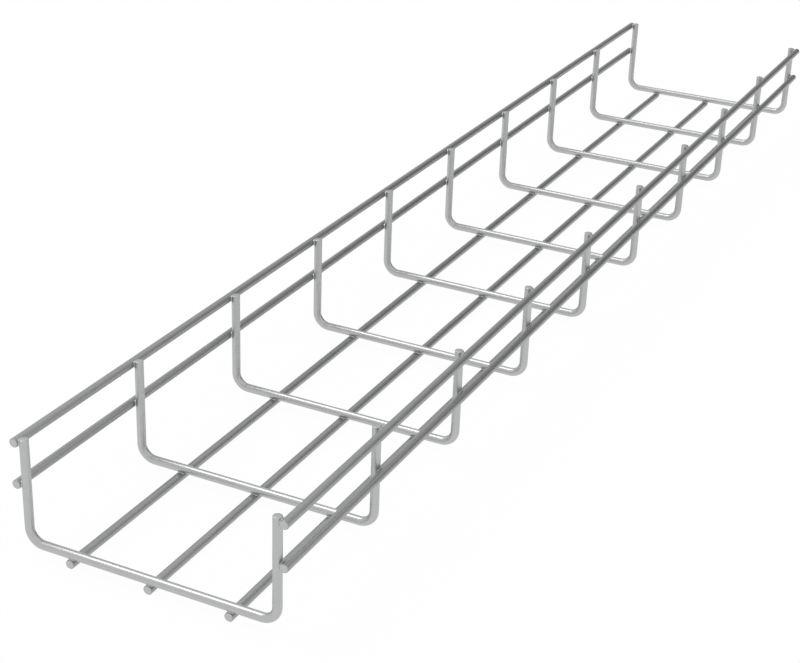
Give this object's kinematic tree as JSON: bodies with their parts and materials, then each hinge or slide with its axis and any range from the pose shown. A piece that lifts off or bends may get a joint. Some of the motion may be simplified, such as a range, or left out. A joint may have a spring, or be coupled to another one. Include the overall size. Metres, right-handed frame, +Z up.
{
  "type": "wire mesh cable basket",
  "caption": "Open-topped basket of welded steel wire mesh that carries cables: bent cross wires in a row, joined outside by straight long wires.",
  "frame": {"origin": "middle of the basket in length and width, level with the undersides of the floor wires it rests on", "axes": "+Z up out of the open top, +Y along the basket, X across it"},
  "size_m": [0.1594, 0.905, 0.0665],
  "materials": {
    "galvanised_wire": "bright galvanised steel wire, drawn smooth, satin to glossy, bare flat faces where it is sheared"
  },
  "bodies": {
    "root": {"cross_wire_1": "galvanised_wire", "cross_wire_2": "galvanised_wire", "cross_wire_3": "galvanised_wire", "cross_wire_4": "galvanised_wire", "cross_wire_5": "galvanised_wire", "cross_wire_6": "galvanised_wire", "cross_wire_7": "galvanised_wire", "cross_wire_8": "galvanised_wire", "cross_wire_9": "galvanised_wire", "cross_wire_10": "galvanised_wire", "top_wire_left": "galvanised_wire", "side_wire_left": "galvanised_wire", "top_wire_right": "galvanised_wire", "side_wire_right": "galvanised_wire", "floor_wire_1": "galvanised_wire", "floor_wire_2": "galvanised_wire", "floor_wire_3": "galvanised_wire"}
  },
  "joints": []
}
